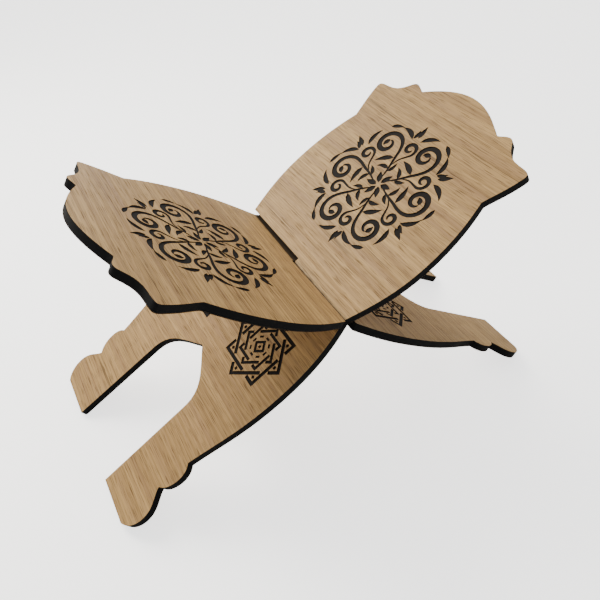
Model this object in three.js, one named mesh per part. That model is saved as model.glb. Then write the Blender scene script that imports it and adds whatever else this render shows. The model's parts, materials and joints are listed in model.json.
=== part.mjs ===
// Flat-pack book stand (rehal) of two equal slotted boards crossing in an X.
// Millimetres. +Z is up, +X runs from the left rest to the right rest and
// +Y runs along the crossing, away from the reader.
import * as THREE from 'three';

// Board layers
const BOARD_THICKNESS = 8.2;
const VENEER_THICKNESS = 0.6;
const GLUE_LINE = 0.1;

// Board outline, measured from the crossing line: half widths and heights
const DOME_TOP = 238.5;
const NOTCH = [55.5, 218.2];
const LOBE = [69, 222.8];
const EAR_HOLLOW = [98, 205.2];
const EAR_SIDE = [111.5, 194];
const NECK = [101.2, 159.5];
const REST_BULGE = [113.4, 82];
const WAIST_HALF = 97.3;
const LEG_BULGE = [113.3, -90];
const UPPER_NICK = [100.1, -196.3];
const SCALLOP_BULGE = [107.4, -212];
const LOWER_NICK = [98.2, -232.8];
const FOOT_BULGE = [113.2, -261];
const FOOT_OUTER_HALF = 100;
const FOOT_INNER_HALF = 47.4;
const LEG_LENGTH = 283.3;
const FOOT_EASE = 1.2;
const ARCH_SPRING = [45.6, -172];
const ARCH_APEX = 125.6;

// Half-lap slots and the way the boards sit in them
const SLOT_WIDTH = 14;
const SLOT_MOUTH_HALF = 98.9;
const SEAT_SHIFT = 1.3;
const ROOT_GAP = 0.3;
const REST_ANGLE = THREE.MathUtils.degToRad(32.2);

const CURVE_STEPS = 9;

const sine = Math.sin(REST_ANGLE);
const cosine = Math.cos(REST_ANGLE);
const coreInset = VENEER_THICKNESS + GLUE_LINE;
const CROSSING_HEIGHT = LEG_LENGTH * sine + (BOARD_THICKNESS / 2 - coreInset) * cosine;

// One side of the board above the waist, from the dome down to the waist.
function restEdge() {
  const path = new THREE.Path();
  path.moveTo(0, DOME_TOP);
  path.bezierCurveTo(21, DOME_TOP, 40, 228.5, ...NOTCH);
  path.bezierCurveTo(60, 218.5, 63.5, LOBE[1], ...LOBE);
  path.bezierCurveTo(77, LOBE[1], 77, 206.5, ...EAR_HOLLOW);
  path.bezierCurveTo(113, 204.3, 113.5, 203.5, ...EAR_SIDE);
  path.bezierCurveTo(108.5, 179, 104.5, 171, ...NECK);
  path.bezierCurveTo(103.4, 151, REST_BULGE[0], 125, ...REST_BULGE);
  path.bezierCurveTo(REST_BULGE[0], 46, 104, 22, WAIST_HALF, 0);
  return path.getPoints(CURVE_STEPS);
}

// The same side below the waist, from the waist down round the foot to the arch.
function legEdge() {
  const path = new THREE.Path();
  path.moveTo(WAIST_HALF, 0);
  path.bezierCurveTo(106, -22, LEG_BULGE[0], -48, ...LEG_BULGE);
  path.bezierCurveTo(LEG_BULGE[0], -137, 104.8, -164, ...UPPER_NICK);
  path.bezierCurveTo(104.8, -199, SCALLOP_BULGE[0], -205, ...SCALLOP_BULGE);
  path.bezierCurveTo(SCALLOP_BULGE[0], -221, 104, -229, ...LOWER_NICK);
  path.bezierCurveTo(101.5, -241, FOOT_BULGE[0], -246, ...FOOT_BULGE);
  path.bezierCurveTo(FOOT_BULGE[0], -272, 107, -280.5, FOOT_OUTER_HALF, -LEG_LENGTH);
  path.lineTo(FOOT_INNER_HALF, -LEG_LENGTH);
  path.lineTo(...ARCH_SPRING);
  path.bezierCurveTo(44.5, -148, 24, -141, 0, -ARCH_APEX);
  return path.getPoints(CURVE_STEPS);
}

// Full outline with the slot cut from the positive side to just past the middle.
// A layer with its foot eased back ends a little above the foot's square cut.
function boardShape(ease) {
  const halfSlot = SLOT_WIDTH / 2;
  const root = -ROOT_GAP / 2 - SEAT_SHIFT;
  const rest = restEdge();
  const leg = legEdge();
  leg.forEach((point) => point.setY(Math.max(point.y, ease - LEG_LENGTH)));
  const mirrored = (point) => new THREE.Vector2(-point.x, point.y);
  const slotted = [
    ...rest.filter((point) => point.y > halfSlot),
    new THREE.Vector2(SLOT_MOUTH_HALF, halfSlot),
    new THREE.Vector2(root, halfSlot),
    new THREE.Vector2(root, -halfSlot),
    new THREE.Vector2(SLOT_MOUTH_HALF, -halfSlot),
    ...leg.filter((point) => point.y < -halfSlot),
  ];
  const plainLeg = leg.slice(1, -1).reverse().map(mirrored);
  const plainRest = rest.slice(1).reverse().map(mirrored);
  return new THREE.Shape([...slotted, ...plainLeg, ...plainRest]);
}

// Board frame: x along the crossing, y up the board, z down through its thickness.
function boardPlacement(turn) {
  const placement = new THREE.Matrix4().makeBasis(
    new THREE.Vector3(0, 1, 0),
    new THREE.Vector3(cosine, 0, sine),
    new THREE.Vector3(sine, 0, -cosine),
  );
  placement.setPosition(0, SEAT_SHIFT, CROSSING_HEIGHT);
  return placement.premultiply(new THREE.Matrix4().makeRotationZ(turn));
}

function layer(name, shape, top, thickness, placement, material) {
  const geometry = new THREE.ExtrudeGeometry(shape, { depth: thickness, bevelEnabled: false });
  geometry.translate(0, 0, top);
  geometry.applyMatrix4(placement);
  const mesh = new THREE.Mesh(geometry, material);
  mesh.name = name;
  return mesh;
}

function oak() {
  return new THREE.MeshStandardMaterial({ name: 'oak_veneer', color: 0xb79a74, roughness: 0.55 });
}

function blackFibre() {
  return new THREE.MeshStandardMaterial({ name: 'black_core', color: 0x141516, roughness: 0.7 });
}

function board(side, turn) {
  const full = boardShape(0);
  const eased = boardShape(FOOT_EASE);
  const placement = boardPlacement(turn);
  const half = BOARD_THICKNESS / 2;
  const coreTop = coreInset - half;
  const backTop = half - VENEER_THICKNESS;
  return [
    layer(`${side}_core`, full, coreTop, -2 * coreTop, placement, blackFibre()),
    layer(`${side}_face_veneer`, full, -half, VENEER_THICKNESS, placement, oak()),
    layer(`${side}_back_veneer`, eased, backTop, VENEER_THICKNESS, placement, oak()),
  ];
}

const stand = new THREE.Group();
stand.name = 'quran_stand';
stand.add(...board('right', 0));
stand.add(...board('left', Math.PI));

export default stand;
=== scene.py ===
# %% [markdown]
# # A low X-shaped book stand in light oak and black
#
# The real stand is two flat boards, cut by laser from a black sheet with an oak veneer on
# each face, and slotted through each other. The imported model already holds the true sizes
# and the folding joint. This lesson gives it its looks: engraved veneers, scorched edges,
# oak grain, and a soft studio around it.

import json
import math

import bpy
from mathutils import Matrix, Vector


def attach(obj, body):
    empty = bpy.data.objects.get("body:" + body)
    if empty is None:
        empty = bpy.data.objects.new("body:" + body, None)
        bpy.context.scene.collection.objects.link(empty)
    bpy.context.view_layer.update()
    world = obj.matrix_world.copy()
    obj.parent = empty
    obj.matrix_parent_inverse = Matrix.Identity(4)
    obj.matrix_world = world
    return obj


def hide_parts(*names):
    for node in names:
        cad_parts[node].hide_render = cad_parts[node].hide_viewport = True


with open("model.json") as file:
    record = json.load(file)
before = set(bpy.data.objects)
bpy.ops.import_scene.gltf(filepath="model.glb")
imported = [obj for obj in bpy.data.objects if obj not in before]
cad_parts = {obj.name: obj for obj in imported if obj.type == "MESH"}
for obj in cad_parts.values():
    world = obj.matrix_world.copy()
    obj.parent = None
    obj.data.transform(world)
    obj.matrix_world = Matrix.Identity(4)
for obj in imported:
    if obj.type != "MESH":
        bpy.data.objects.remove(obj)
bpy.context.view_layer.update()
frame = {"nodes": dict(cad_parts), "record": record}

# %% [markdown]
# ## Where the boards are
#
# Each board leans back from the crossing line at the same angle. It is easiest to think of
# a board lying flat, with x along the crossing, y up the board and z out of its upper face,
# so this step works out the turn that carries a flat board to its place in the stand.

# %% Board frames
joint = frame["record"]["behaviour"]["joints"][0]
crossing = Vector(joint["pos_m"])
REST_ANGLE = math.radians(32.2)
SEAT_SHIFT = 0.0013
BOARD_HALF = 0.0041
VENEER = 0.0006
MILLIMETRES = 1000


def board_matrix(side):
    """The turn and shift from a board lying flat to that board in the stand."""
    up = Vector((math.cos(REST_ANGLE), 0, math.sin(REST_ANGLE)))
    out = Vector((-math.sin(REST_ANGLE), 0, math.cos(REST_ANGLE)))
    along = up.cross(out)
    turn = Matrix((along, up, out)).transposed().to_4x4()
    place = Matrix.Translation(crossing + Vector((0, SEAT_SHIFT, 0))) @ turn
    half_turn = Matrix.Rotation(math.pi, 4, "Z")
    return place if side == "right" else half_turn @ place


board = {side: board_matrix(side) for side in ("right", "left")}
for side, matrix in board.items():
    print(side, "board's upper face points along", [round(n, 3) for n in matrix.col[2][:3]])

# %% [markdown]
# ## Camera
#
# The camera looks down on the open stand from the reader's left, near enough for the front
# edges to look larger than the rear ones. It is placed by its turn angles, and a small sideways
# shift of the lens keeps the stand in the middle of the frame without turning it.

# %% Camera
AZIMUTH, ELEVATION, ROLL = (math.radians(a) for a in (-25.73, 41.92, -2.12))
camera_turn = (
    Matrix.Rotation(AZIMUTH, 4, "Z")
    @ Matrix.Rotation(math.pi / 2 - ELEVATION, 4, "X")
    @ Matrix.Rotation(ROLL, 4, "Z")
)
bpy.ops.object.select_all(action="DESELECT")
bpy.ops.object.camera_add(
    location=(-0.23677, -0.43532, crossing.z + 0.39772),
    rotation=camera_turn.to_euler(),
)
camera = bpy.context.object
camera.name = "camera"
camera.data.sensor_width = 36
camera.data.lens = 37.476
camera.data.shift_x = 0.0457
camera.data.clip_start = 0.01
bpy.context.scene.camera = camera
print("camera at", [round(c, 3) for c in camera.location])

# %% [markdown]
# ## Studio
#
# A pale floor and a pale sky fill the shadows. The main light is a broad low window behind the
# stand, which brightens the right board and leaves the legs under the left board darker. A wide
# ceiling light fills from above, and a faint low doorway gives the left board its sheen. These
# three are suns, which don't fade with distance and so keep the floor even. A reading lamp near
# the stand then lights the right board more than the left one. The floor and the sky glow for
# the camera alone, so they look nearly white and yet don't flood the wood with light.

# %% Floor
FLOOR_GLOW = 2.0

bpy.ops.mesh.primitive_plane_add(size=8, location=(0, 0, 0))
floor = bpy.context.object
floor.name = "floor"
floor_paint = bpy.data.materials.new("floor_paint")
floor_paint.use_nodes = True
paint = floor_paint.node_tree.nodes["Principled BSDF"]
paint.inputs["Base Color"].default_value = (0.9, 0.9, 0.9, 1)
paint.inputs["Roughness"].default_value = 0.9
paint.inputs["Emission Color"].default_value = (1, 1, 1, 1)
seen = floor_paint.node_tree.nodes.new("ShaderNodeLightPath")
glow = floor_paint.node_tree.nodes.new("ShaderNodeMath")
glow.operation = "MULTIPLY"
glow.inputs[1].default_value = FLOOR_GLOW
floor_paint.node_tree.links.new(seen.outputs["Is Camera Ray"], glow.inputs[0])
floor_paint.node_tree.links.new(glow.outputs[0], paint.inputs["Emission Strength"])
floor.data.materials.append(floor_paint)
print("floor laid")

# %% Sky
SKY_LIGHT, SKY_SEEN = 0.4, 3.2

world = bpy.data.worlds.new("studio")
world.use_nodes = True
sky = world.node_tree.nodes["Background"]
sky.inputs["Color"].default_value = (1, 1, 1, 1)
sky_seen = world.node_tree.nodes.new("ShaderNodeLightPath")
sky_glow = world.node_tree.nodes.new("ShaderNodeMapRange")
sky_glow.inputs["To Min"].default_value = SKY_LIGHT
sky_glow.inputs["To Max"].default_value = SKY_SEEN
world.node_tree.links.new(sky_seen.outputs["Is Camera Ray"], sky_glow.inputs["Value"])
world.node_tree.links.new(sky_glow.outputs["Result"], sky.inputs["Strength"])
bpy.context.scene.world = world
print("sky strength:", SKY_LIGHT, "as light,", SKY_SEEN, "as seen")

# %% Lamps
WARM = (1.0, 0.96, 0.87)
COOL = (0.93, 0.97, 1.0)
SUN_DISTANCE = 3


def soft_sun(name, azimuth, elevation, spread, strength, tint):
    """A sun with a wide disc; the angles say where it stands in the sky."""
    around, above = math.radians(azimuth), math.radians(elevation)
    flat = math.cos(above)
    toward = Vector((math.cos(around) * flat, math.sin(around) * flat, math.sin(above)))
    aim = (-toward).to_track_quat("-Z", "Y")
    bpy.ops.object.light_add(
        type="SUN", location=SUN_DISTANCE * toward, rotation=aim.to_euler()
    )
    light = bpy.context.object
    light.name = name
    light.data.angle = math.radians(spread)
    light.data.energy = strength
    light.data.color = tint
    print(name, "stands at", [round(c, 2) for c in light.location])


soft_sun("window_behind", 102, 26, 36, 2.7, WARM)
soft_sun("ceiling", 65, 50, 70, 1.0, WARM)
soft_sun("low_doorway", 66, 5, 14, 0.36, COOL)

# %% Reading lamp
lamp_place = Vector((-0.40, 0.77, 0.83))
bpy.ops.object.light_add(
    type="AREA",
    location=lamp_place,
    rotation=(crossing - lamp_place).to_track_quat("-Z", "Y").to_euler(),
)
near_lamp = bpy.context.object
near_lamp.name = "reading_lamp"
near_lamp.data.size = 0.5
near_lamp.data.energy = 10
near_lamp.data.color = WARM
print("near lamp at", [round(c, 2) for c in near_lamp.location])

# %% [markdown]
# ## The veneers as flat sheets
#
# On the real stand each face of a board is a 0.6 mm sheet of oak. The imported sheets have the
# right outline, so each is copied, its loose triangles are welded into one clean sheet, and
# it is laid flat for cutting. Working on a flat sheet is simpler than working on a slope.


# %% Copy a packed layer and lay it flat
def only(piece):
    """Make one object the selected and active one."""
    bpy.ops.object.select_all(action="DESELECT")
    piece.select_set(True)
    bpy.context.view_layer.objects.active = piece


WELD_DISTANCE = 1e-6
FLAT_WITHIN = math.radians(0.2)


def flat_layer(packed, name, side):
    """A welded copy of a packed layer, lying flat in its board's frame."""
    piece = frame["nodes"][packed].copy()
    piece.data = piece.data.copy()
    piece.parent = None
    piece.name = name
    piece.data.name = name
    piece.data.materials.clear()
    bpy.context.collection.objects.link(piece)
    piece.matrix_world = board[side].inverted()
    only(piece)
    bpy.ops.object.transform_apply(location=True, rotation=True, scale=True)
    bpy.ops.object.mode_set(mode="EDIT")
    bpy.ops.mesh.select_all(action="SELECT")
    bpy.ops.mesh.remove_doubles(threshold=WELD_DISTANCE)
    bpy.ops.mesh.dissolve_limited(angle_limit=FLAT_WITHIN)
    bpy.ops.object.mode_set(mode="OBJECT")
    print(name, "is a sheet of", len(piece.data.polygons), "faces")
    return piece


def stand_up(piece, side):
    """Carry a finished flat piece to its place in the stand."""
    only(piece)
    piece.matrix_world = board[side]
    bpy.ops.object.transform_apply(location=True, rotation=True, scale=True)


# %% [markdown]
# ## The medallion's drawing
#
# Each page rest carries a round leaf-and-vine medallion, engraved through the oak to the
# black sheet. A stroke is a line of points, each with its own width in millimetres. Six equal
# parts turn about the middle, so only one part is drawn.

# %% Strokes for vines and leaves
def on_ring(radius, degrees):
    angle = math.radians(degrees)
    return (radius * math.cos(angle), radius * math.sin(angle))


STEP_DEGREES = 26


def vine(lead, centre, start, end, angle, turn, fat):
    """A stem that runs through the lead points and then curls into a scroll."""
    steps = int(abs(turn) / STEP_DEGREES) + 1
    points = list(lead)
    for step in range(steps + 1):
        part = step / steps
        radius = start * (end / start) ** (part**0.9)
        x, y = on_ring(radius, angle + turn * part)
        points.append((centre[0] + x, centre[1] + y))
    last = len(points) - 1
    stroke = []
    for i, (x, y) in enumerate(points):
        swell = math.sin(math.pi * (0.05 + 0.9 * i / last)) ** 0.8
        stroke.append((x, y, fat * max(0.2, swell)))
    return stroke


def leaf(root, heading, length, bend, fat, peak=0.75):
    """A pointed leaf that grows from its root and bends as it goes."""
    x, y = root
    points = [(x, y, fat * 0.06)]
    for step in range(1, 6):
        part = step / 5
        dx, dy = on_ring(length / 5, heading + bend * (part - 0.1))
        x, y = x + dx, y + dy
        points.append((x, y, fat * max(0.06, math.sin(math.pi * part**peak))))
    return points


def turned(stroke, degrees):
    angle = math.radians(degrees)
    c, s = math.cos(angle), math.sin(angle)
    return [(x * c - y * s, x * s + y * c, w) for x, y, w in stroke]


# %% One sixth of the medallion
SIXTH = [
    vine([(7, -1), (16, -5.5), (27, -9.5)], (48.5, 1), 17.2, 4.6, -116, 440, 5.6),
    leaf((52.5, -1.5), 100, 9, 50, 5.4, peak=0.9),
    vine([(21, -8), (26.4, -14.5)], (37.5, -24), 8.8, 2.8, 172, 420, 4.3),
    leaf(on_ring(57.5, 29), 29, 14.5, 0, 5.2),
    leaf(on_ring(55, 34.5), 66, 21, 62, 5.2),
    leaf(on_ring(55, 23.5), -8, 21, -58, 5.2),
    leaf((30, -9), 76, 20, 30, 5.8),
    leaf((17.5, -5.5), 35, 14, 62, 4.6),
    leaf((14.5, -6), -66, 12, 40, 4.2),
    leaf((69.5, 1.5), -92, 15, -26, 4.4),
    leaf((50.5, -24.5), -62, 11, 50, 4.4),
    leaf((2.6, 0.4), 0, 12.5, 0, 6.0, peak=0.8),
]
MEDALLION_CENTRE = (0, 115)
MEDALLION_SCALE = 1.06
MEDALLION_TURN = 10


def in_medallion(stroke, part):
    """One sixth's stroke, turned and carried to its place on the board."""
    left, up = MEDALLION_CENTRE
    k = MEDALLION_SCALE
    placed = turned(stroke, 60 * part + MEDALLION_TURN)
    return [(left + k * x, up + k * y, k * w) for x, y, w in placed]


medallion = [in_medallion(stroke, part) for part in range(6) for stroke in SIXTH]
print("the medallion has", len(medallion), "strokes")

# %% [markdown]
# ## The leg stars' drawing
#
# Each leg plate has two eight-pointed stars, one near each edge: two squares woven over and
# under each other, a smaller pair inside, a small square ring in the middle and a dot in
# every point. Where a band passes under another it stops short on both sides.

# %% Strokes for a woven star
def bar(x0, y0, x1, y1, wide):
    return [(x0, y0, wide), (x1, y1, wide)]


def woven_squares(half, wide, clear):
    """Eight sides, each over the first band that it meets and under the second."""
    cross = half * math.tan(math.radians(22.5))
    gap = (wide + 2 * clear) / math.sqrt(2)
    end = half + wide / 2
    sides = []
    for turn in range(8):
        sides.append(turned(bar(half, -end, half, cross - gap, wide), 45 * turn))
        sides.append(turned(bar(half, cross + gap, half, end, wide), 45 * turn))
    return sides


def star_strokes(centre):
    strokes = woven_squares(27.0, 3.7, 1.2) + woven_squares(16.2, 3.1, 1.0)
    for turn in range(8):
        strokes.append(turned(bar(31.2, -1.6, 31.2, 1.6, 3.2), 45 * turn + 45))
        strokes.append(turned(bar(10.6, -2.2, 10.6, 2.2, 2.3), 45 * turn))
    for turn in range(4):
        strokes.append(turned(bar(4.7, -6.1, 4.7, 6.1, 2.8), 90 * turn + 45))
    strokes.append(bar(-1.5, 0, 1.5, 0, 3.0))
    return [[(x + centre[0], y + centre[1], w) for x, y, w in stroke] for stroke in strokes]


STAR_CENTRES = ((-53.5, -77.5), (53.5, -77.5))
stars = [stroke for centre in STAR_CENTRES for stroke in star_strokes(centre)]
print("the two stars have", len(stars), "strokes")

# %% [markdown]
# ## Cutting the drawing through the oak
#
# The drawing could be a painted mask or a bump, but then its edges would have no depth and
# the black sheet would not lie below them. So it is really cut. A curve with a tall thin
# section follows each stroke, and the point's radius sets the stroke's width. Made into a
# mesh, the curves are blades that stand through the sheet, and a Boolean takes them out of it,
# as the laser does. Both boards are alike, so one sheet is cut and the other is its copy.


# %% Blades from strokes
def blade_section():
    """The section that every stroke sweeps: one wide, five tall."""
    bpy.ops.curve.primitive_bezier_circle_add(radius=0.5)
    section = bpy.context.object
    section.name = "blade_section"
    spline = section.data.splines[0]
    corners = ((-0.5, -2.5), (-0.5, 2.5), (0.5, 2.5), (0.5, -2.5))
    for point, (x, y) in zip(spline.bezier_points, corners):
        point.handle_left_type = point.handle_right_type = "VECTOR"
        point.co = (x, y, 0)
    section.data.resolution_u = 1
    return section


def blades(strokes, section, name):
    """One mesh with a blade for each stroke, in metres, on the flat board."""
    bpy.ops.curve.primitive_bezier_curve_add()
    curve = bpy.context.object
    curve.name = name
    curve.data.splines.clear()
    curve.data.twist_mode = "Z_UP"
    curve.data.bevel_mode = "OBJECT"
    curve.data.bevel_object = section
    curve.data.use_fill_caps = True
    curve.data.resolution_u = 3
    for stroke in strokes:
        spline = curve.data.splines.new("BEZIER")
        spline.bezier_points.add(len(stroke) - 1)
        for point, (x, y, wide) in zip(spline.bezier_points, stroke):
            height = BOARD_HALF - VENEER / 2
            point.co = (x / MILLIMETRES, y / MILLIMETRES, height)
            point.radius = wide / MILLIMETRES
            point.handle_left_type = point.handle_right_type = "AUTO"
    only(curve)
    bpy.ops.object.convert(target="MESH")
    return bpy.context.object


def cut(piece, blade):
    """Take a blade mesh out of a piece."""
    only(piece)
    boolean = piece.modifiers.new("engrave", "BOOLEAN")
    boolean.operation = "DIFFERENCE"
    boolean.solver = "EXACT"
    boolean.use_self = True
    boolean.object = blade
    bpy.ops.object.modifier_apply(modifier=boolean.name)


# %% Engrave both upper veneers
section = blade_section()
blade = blades(medallion + stars, section, "blades")
print("blade mesh:", len(blade.data.polygons), "faces")
engraved = flat_layer("right_face_veneer", "right_engraved_veneer", "right")
cut(engraved, blade)
for spare in (blade, section):
    bpy.data.objects.remove(spare)
second = engraved.copy()
second.data = engraved.data.copy()
second.name = second.data.name = "left_engraved_veneer"
bpy.context.collection.objects.link(second)
veneers = {"right": engraved, "left": second}
for side, sheet in veneers.items():
    stand_up(sheet, side)
    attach(sheet, f"{side}_board")
    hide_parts(f"{side}_face_veneer")
    print(sheet.name, "has", len(sheet.data.polygons), "faces")

# %% [markdown]
# ## Cores and back veneers
#
# The black core is the real strength of each board. It shows at every cut edge and at the
# bottom of the engraving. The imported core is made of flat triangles, so a welded copy takes
# smooth shading round its curved edges. The back veneers stay plain, as on the real stand.

# %% Black cores and plain back veneers
ROUND_BELOW = math.radians(35)
layers = []
for side in ("right", "left"):
    for packed, name, slot in (
        (f"{side}_core", f"{side}_black_sheet", "black_core"),
        (f"{side}_back_veneer", f"{side}_plain_veneer", "oak_veneer"),
    ):
        sheet = flat_layer(packed, name, side)
        stand_up(sheet, side)
        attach(sheet, f"{side}_board")
        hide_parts(packed)
        layers.append((sheet, side, slot))
layers += [(sheet, side, "oak_veneer") for side, sheet in veneers.items()]
for sheet, side, slot in layers:
    only(sheet)
    bpy.ops.object.shade_smooth_by_angle(angle=ROUND_BELOW)
print("layers:", [sheet.name for sheet, side, slot in layers])

# %% [markdown]
# ## Shader groups
#
# Every finish here follows its own board, so each material first turns object coordinates into
# board coordinates: x up the board, y along the grain, z through the sheet. The groups then add
# the oak's figure, the laser's scorch and painted shade in the slot gaps. They only give
# colours and values. The shader itself stays in each material.


# %% Small helpers for node groups
def new_group(name, inputs, outputs):
    """A shader group with typed sockets; gives its tree and end nodes."""
    tree = bpy.data.node_groups.new(name, "ShaderNodeTree")
    for label, kind, default in inputs:
        socket = tree.interface.new_socket(
            label, in_out="INPUT", socket_type=f"NodeSocket{kind}"
        )
        if default is not None:
            socket.default_value = default
    for label, kind in outputs:
        tree.interface.new_socket(label, in_out="OUTPUT", socket_type=f"NodeSocket{kind}")
    return tree, tree.nodes.new("NodeGroupInput"), tree.nodes.new("NodeGroupOutput")


def node(tree, kind, **settings):
    made = tree.nodes.new(f"ShaderNode{kind}")
    for key, value in settings.items():
        setattr(made, key, value)
    return made


def math_node(tree, operation, first, second=None):
    made = node(tree, "Math", operation=operation)
    for socket, value in zip(made.inputs, (first, second)):
        if isinstance(value, (int, float)):
            socket.default_value = value
        elif value is not None:
            tree.links.new(value, socket)
    return made.outputs[0]


def stretched_noise(tree, vector, scale, detail=2.0, roughness=0.5):
    """Noise drawn out along the grain; scale is per metre across, along and through."""
    size = node(tree, "VectorMath", operation="MULTIPLY")
    size.inputs[1].default_value = scale
    tree.links.new(vector, size.inputs[0])
    noise = node(tree, "TexNoise")
    noise.inputs["Scale"].default_value = 1
    noise.inputs["Detail"].default_value = detail
    noise.inputs["Roughness"].default_value = roughness
    tree.links.new(size.outputs[0], noise.inputs["Vector"])
    return noise.outputs["Fac"]


def ramp(tree, value, low, high):
    """0 below low and 1 above high, smooth between."""
    made = node(tree, "MapRange", interpolation_type="SMOOTHSTEP")
    made.inputs["From Min"].default_value = low
    made.inputs["From Max"].default_value = high
    tree.links.new(value, made.inputs["Value"])
    return made.outputs["Result"]


def blend(tree, factor, first, second):
    """Mix two colours; each may be a socket or a plain colour."""
    made = node(tree, "Mix", data_type="RGBA", blend_type="MIX")
    sockets = (made.inputs[0], made.inputs[6], made.inputs[7])
    for socket, value in zip(sockets, (factor, first, second)):
        if isinstance(value, bpy.types.NodeSocket):
            tree.links.new(value, socket)
        else:
            socket.default_value = value
    return made.outputs[2]


print("helpers ready")

# %% The oak's figure
OAK_LIGHT = (0.556, 0.354, 0.147, 1)
OAK_DEEP = (0.272, 0.160, 0.062, 1)
OAK_ROSE = (0.316, 0.186, 0.095, 1)
OAK_PORE = (0.058, 0.030, 0.013, 1)


def oak_figure_group():
    tree, given, gives = new_group(
        "oak figure",
        (("Board Vector", "Vector", None), ("Shift", "Vector", (0.0, 0.0, 0.0))),
        (("Color", "Color"), ("Roughness", "Float"), ("Height", "Float")),
    )
    moved = node(tree, "VectorMath", operation="ADD")
    tree.links.new(given.outputs["Board Vector"], moved.inputs[0])
    tree.links.new(given.outputs["Shift"], moved.inputs[1])
    sway = stretched_noise(tree, moved.outputs[0], (14, 5, 0), 1.0)
    sway = math_node(tree, "MULTIPLY", math_node(tree, "SUBTRACT", sway, 0.5), 0.008)
    offset = node(tree, "CombineXYZ")
    tree.links.new(sway, offset.inputs["X"])
    waved = node(tree, "VectorMath", operation="ADD")
    tree.links.new(moved.outputs[0], waved.inputs[0])
    tree.links.new(offset.outputs[0], waved.inputs[1])
    grain = waved.outputs[0]
    bands = ramp(tree, stretched_noise(tree, grain, (75, 1.6, 0), 2.0), 0.34, 0.66)
    rose = ramp(tree, stretched_noise(tree, grain, (130, 2.4, 3), 2.0), 0.45, 0.68)
    streaks = ramp(tree, stretched_noise(tree, grain, (380, 3.6, 0), 3.0, 0.65), 0.36, 0.66)
    lines = ramp(tree, stretched_noise(tree, grain, (720, 9, 0), 2.0, 0.6), 0.54, 0.70)
    pores = ramp(tree, stretched_noise(tree, grain, (1900, 45, 0), 1.0), 0.56, 0.68)
    colour = blend(tree, math_node(tree, "MULTIPLY", bands, 0.42), OAK_LIGHT, OAK_DEEP)
    colour = blend(tree, math_node(tree, "MULTIPLY", rose, 0.6), colour, OAK_ROSE)
    colour = blend(tree, math_node(tree, "MULTIPLY", streaks, 0.62), colour, OAK_DEEP)
    line_strength = math_node(tree, "MULTIPLY", lines, math_node(tree, "ADD", bands, 0.5))
    colour = blend(tree, math_node(tree, "MULTIPLY", line_strength, 0.5), colour, OAK_PORE)
    colour = blend(tree, math_node(tree, "MULTIPLY", pores, 0.62), colour, OAK_PORE)
    rough = math_node(tree, "ADD", math_node(tree, "MULTIPLY", streaks, 0.10), 0.44)
    rough = math_node(tree, "ADD", rough, math_node(tree, "MULTIPLY", pores, 0.2))
    height = math_node(tree, "ADD", math_node(tree, "MULTIPLY", pores, -0.8), 1.0)
    height = math_node(tree, "SUBTRACT", height, math_node(tree, "MULTIPLY", lines, 0.35))
    height = math_node(tree, "ADD", height, math_node(tree, "MULTIPLY", streaks, 0.15))
    tree.links.new(colour, gives.inputs["Color"])
    tree.links.new(rough, gives.inputs["Roughness"])
    tree.links.new(height, gives.inputs["Height"])
    return tree


oak_figure = oak_figure_group()
print("oak figure has", len(oak_figure.nodes), "nodes")


# %% The laser's scorch on cut walls
def laser_cut_group():
    """Cut is 1 on walls that run through the sheet; Ridges are the beam's fine steps."""
    tree, given, gives = new_group(
        "laser cut",
        (("Board Vector", "Vector", None), ("Wall", "Float", 0.0)),
        (("Cut", "Float"), ("Ridges", "Float"), ("Soot And Shade", "Float")),
    )
    wall_mask = ramp(tree, given.outputs["Wall"], 0.25, 0.75)
    ridges = stretched_noise(tree, given.outputs["Board Vector"], (2400, 2400, 60), 2.0)
    soot_and_shade = stretched_noise(tree, given.outputs["Board Vector"], (150, 150, 500), 3.0)
    tree.links.new(wall_mask, gives.inputs["Cut"])
    tree.links.new(ridges, gives.inputs["Ridges"])
    tree.links.new(soot_and_shade, gives.inputs["Soot And Shade"])
    return tree


laser_cut = laser_cut_group()
print("laser cut has", len(laser_cut.nodes), "nodes")


# %% Painted shade in the slot gaps
HALF_EDGE = (-0.0016, -0.0008)
BOARD_END = 0.1
SHADE_BELOW = 0.0085
SHADE_FADE = 0.0016
SHADE_WANDER = 0.002


def painted_slot_shade_group():
    """Painted shade in the gap where a board stands in the other board's slot, where little
    light reaches.

    Only the half of a board without a slot of its own gets it. Half Sign is 1 where that
    half lies towards positive y. The reaches say how far from the crossing the painted shade
    goes, by the middle of the stand and at the board's end.
    """
    tree, given, gives = new_group(
        "painted slot shade",
        (
            ("Board Vector", "Vector", None),
            ("Half Sign", "Float", 1.0),
            ("Middle Reach", "Float", 0.005),
            ("End Reach", "Float", 0.001),
        ),
        (("Soot And Shade", "Float"),),
    )
    parts = node(tree, "SeparateXYZ")
    tree.links.new(given.outputs["Board Vector"], parts.inputs[0])
    out = math_node(tree, "MULTIPLY", parts.outputs["Y"], given.outputs["Half Sign"])
    half = ramp(tree, out, *HALF_EDGE)
    reach = node(tree, "MapRange")
    reach.inputs["From Min"].default_value = 0.0
    reach.inputs["From Max"].default_value = BOARD_END
    tree.links.new(out, reach.inputs["Value"])
    tree.links.new(given.outputs["Middle Reach"], reach.inputs["To Min"])
    tree.links.new(given.outputs["End Reach"], reach.inputs["To Max"])
    shade_wobble = stretched_noise(tree, given.outputs["Board Vector"], (160, 120, 0), 2.0)
    shade_wobble = math_node(tree, "SUBTRACT", shade_wobble, 0.5)
    shade_wobble = math_node(tree, "MULTIPLY", shade_wobble, SHADE_WANDER)
    # The band is painted shade in the slot gap, where the other board keeps the light out.
    above = math_node(tree, "SUBTRACT", reach.outputs["Result"], parts.outputs["X"])
    below = math_node(tree, "ADD", parts.outputs["X"], SHADE_BELOW)
    depth = math_node(tree, "ADD", math_node(tree, "MINIMUM", above, below), shade_wobble)
    dark = ramp(tree, depth, -SHADE_FADE, SHADE_FADE)
    tree.links.new(math_node(tree, "MULTIPLY", dark, half), gives.inputs["Soot And Shade"])
    return tree


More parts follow.
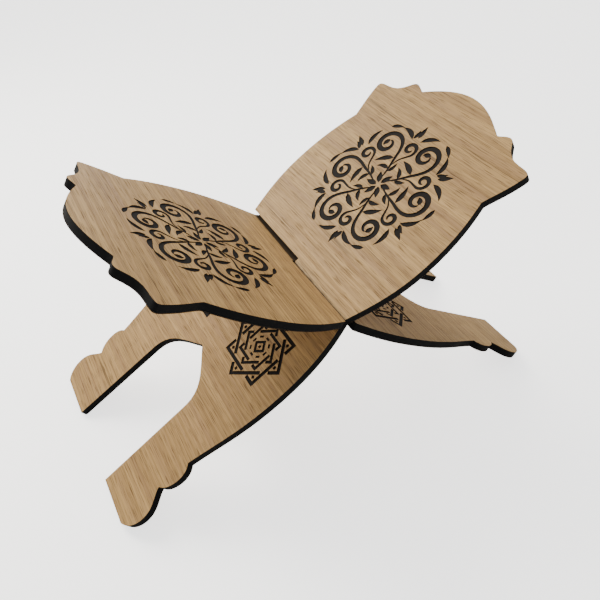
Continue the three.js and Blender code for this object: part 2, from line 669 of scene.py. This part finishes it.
slot_shade_nodes = painted_slot_shade_group()
print("painted slot shade has", len(slot_shade_nodes.nodes), "nodes")


# %% Board coordinates
def board_vector(tree, side):
    """Board coordinates, and how far the surface faces away from the board's own face."""
    place = node(tree, "TexCoord")
    turn = REST_ANGLE if side == "right" else math.pi - REST_ANGLE
    mapping = node(tree, "Mapping", vector_type="POINT")
    mapping.inputs["Rotation"].default_value = (0, turn, 0)
    mapping.inputs["Location"].default_value = -(Matrix.Rotation(turn, 3, "Y") @ crossing)
    tree.links.new(place.outputs["Object"], mapping.inputs["Vector"])
    facing = node(tree, "VectorMath", operation="DOT_PRODUCT")
    facing.inputs[1].default_value = board[side].col[2][:3]
    tree.links.new(place.outputs["Normal"], facing.inputs[0])
    level = math_node(tree, "ABSOLUTE", facing.outputs["Value"])
    return mapping.outputs[0], math_node(tree, "SUBTRACT", 1.0, level)


print("crossing line at height", round(crossing.z, 4))

# %% [markdown]
# ## Finishes
#
# The oak has a thin satin lacquer that goes pale at a glancing view. Its cut walls are burnt
# nearly black, and the strip in the gap of the other board's slot is painted nearly black as
# shade. The black sheet is matt, with the laser's fine upright ridges on its edges, and brown
# soot lies at the bottom of the engraving.


# %% Oak veneer
def start_material(name):
    material = bpy.data.materials.new(name)
    material.use_nodes = True
    tree = material.node_tree
    return material, tree, tree.nodes["Principled BSDF"]


def add_group(tree, group):
    made = node(tree, "Group")
    made.node_tree = group
    return made


def bump(tree, shader, height, distance, strength):
    made = node(tree, "Bump")
    made.inputs["Distance"].default_value = distance
    made.inputs["Strength"].default_value = strength
    tree.links.new(height, made.inputs["Height"])
    tree.links.new(made.outputs["Normal"], shader.inputs["Normal"])


# Each board's half with painted shade in the slot gap, and that painted shade's reach in metres
# by the middle and at the end
SLOT_SHADE = {"left": (1, 0.0056, 0.0012), "right": (-1, 0.0022, 0.0018)}
SLOT_SHADE_STRENGTH = 0.93
BURNT_AND_SHADE = (0.016, 0.011, 0.009, 1)
BURNT_AND_SHADE_ROUGHNESS = 0.8
PORE_DEPTH = 0.00008


def oak_veneer(side, shift):
    material, tree, shader = start_material(f"oak_veneer_{side}")
    vector, wall = board_vector(tree, side)
    figure = add_group(tree, oak_figure)
    figure.inputs["Shift"].default_value = shift
    laser = add_group(tree, laser_cut)
    for group in (figure, laser):
        tree.links.new(vector, group.inputs["Board Vector"])
    tree.links.new(wall, laser.inputs["Wall"])
    gap_shade = add_group(tree, slot_shade_nodes)
    tree.links.new(vector, gap_shade.inputs["Board Vector"])
    half, middle, end = SLOT_SHADE[side]
    gap_shade.inputs["Half Sign"].default_value = half
    gap_shade.inputs["Middle Reach"].default_value = middle
    gap_shade.inputs["End Reach"].default_value = end
    # Painted shade: the slot gap's band is darkened in the colour; the cut walls' black is real
    # char.
    soot_and_shade = math_node(tree, "MULTIPLY", gap_shade.outputs["Soot And Shade"], SLOT_SHADE_STRENGTH)
    burnt_and_shaded = math_node(tree, "MAXIMUM", laser.outputs["Cut"], soot_and_shade)
    colour = blend(tree, burnt_and_shaded, figure.outputs["Color"], BURNT_AND_SHADE)
    tree.links.new(colour, shader.inputs["Base Color"])
    charred_and_shaded = math_node(tree, "MULTIPLY", burnt_and_shaded, BURNT_AND_SHADE_ROUGHNESS)
    rough = math_node(tree, "MAXIMUM", figure.outputs["Roughness"], charred_and_shaded)
    tree.links.new(rough, shader.inputs["Roughness"])
    shader.inputs["Specular IOR Level"].default_value = 0.12
    bump(tree, shader, figure.outputs["Height"], PORE_DEPTH, 0.6)
    return material


# %% Black sheet
FLOOR_SOOT = ((0.0035, 0.0026, 0.0022, 1), (0.0085, 0.0056, 0.0042, 1))
EDGE_BLACK = ((0.0030, 0.0032, 0.0036, 1), (0.0065, 0.0066, 0.0070, 1))
RIDGE_DEPTH = 0.00006


def black_core(side):
    material, tree, shader = start_material(f"black_core_{side}")
    vector, wall = board_vector(tree, side)
    laser = add_group(tree, laser_cut)
    tree.links.new(vector, laser.inputs["Board Vector"])
    tree.links.new(wall, laser.inputs["Wall"])
    floor_tone = blend(tree, laser.outputs["Soot And Shade"], *FLOOR_SOOT)
    edge_tone = blend(tree, laser.outputs["Soot And Shade"], *EDGE_BLACK)
    colour = blend(tree, laser.outputs["Cut"], floor_tone, edge_tone)
    tree.links.new(colour, shader.inputs["Base Color"])
    rough = math_node(tree, "MULTIPLY", laser.outputs["Ridges"], 0.25)
    rough = math_node(tree, "ADD", rough, 0.6)
    tree.links.new(rough, shader.inputs["Roughness"])
    shader.inputs["Specular IOR Level"].default_value = 0.12
    bump(tree, shader, laser.outputs["Ridges"], RIDGE_DEPTH, 0.5)
    return material


# %% Dress the layers
finishes = {
    ("right", "oak_veneer"): oak_veneer("right", (0.31, 0.2, 0.0)),
    ("left", "oak_veneer"): oak_veneer("left", (1.73, 0.9, 0.0)),
    ("right", "black_core"): black_core("right"),
    ("left", "black_core"): black_core("left"),
}
for sheet, side, slot in layers:
    sheet.data.materials.append(finishes[side, slot])
print("finishes:", sorted(material.name for material in finishes.values()))
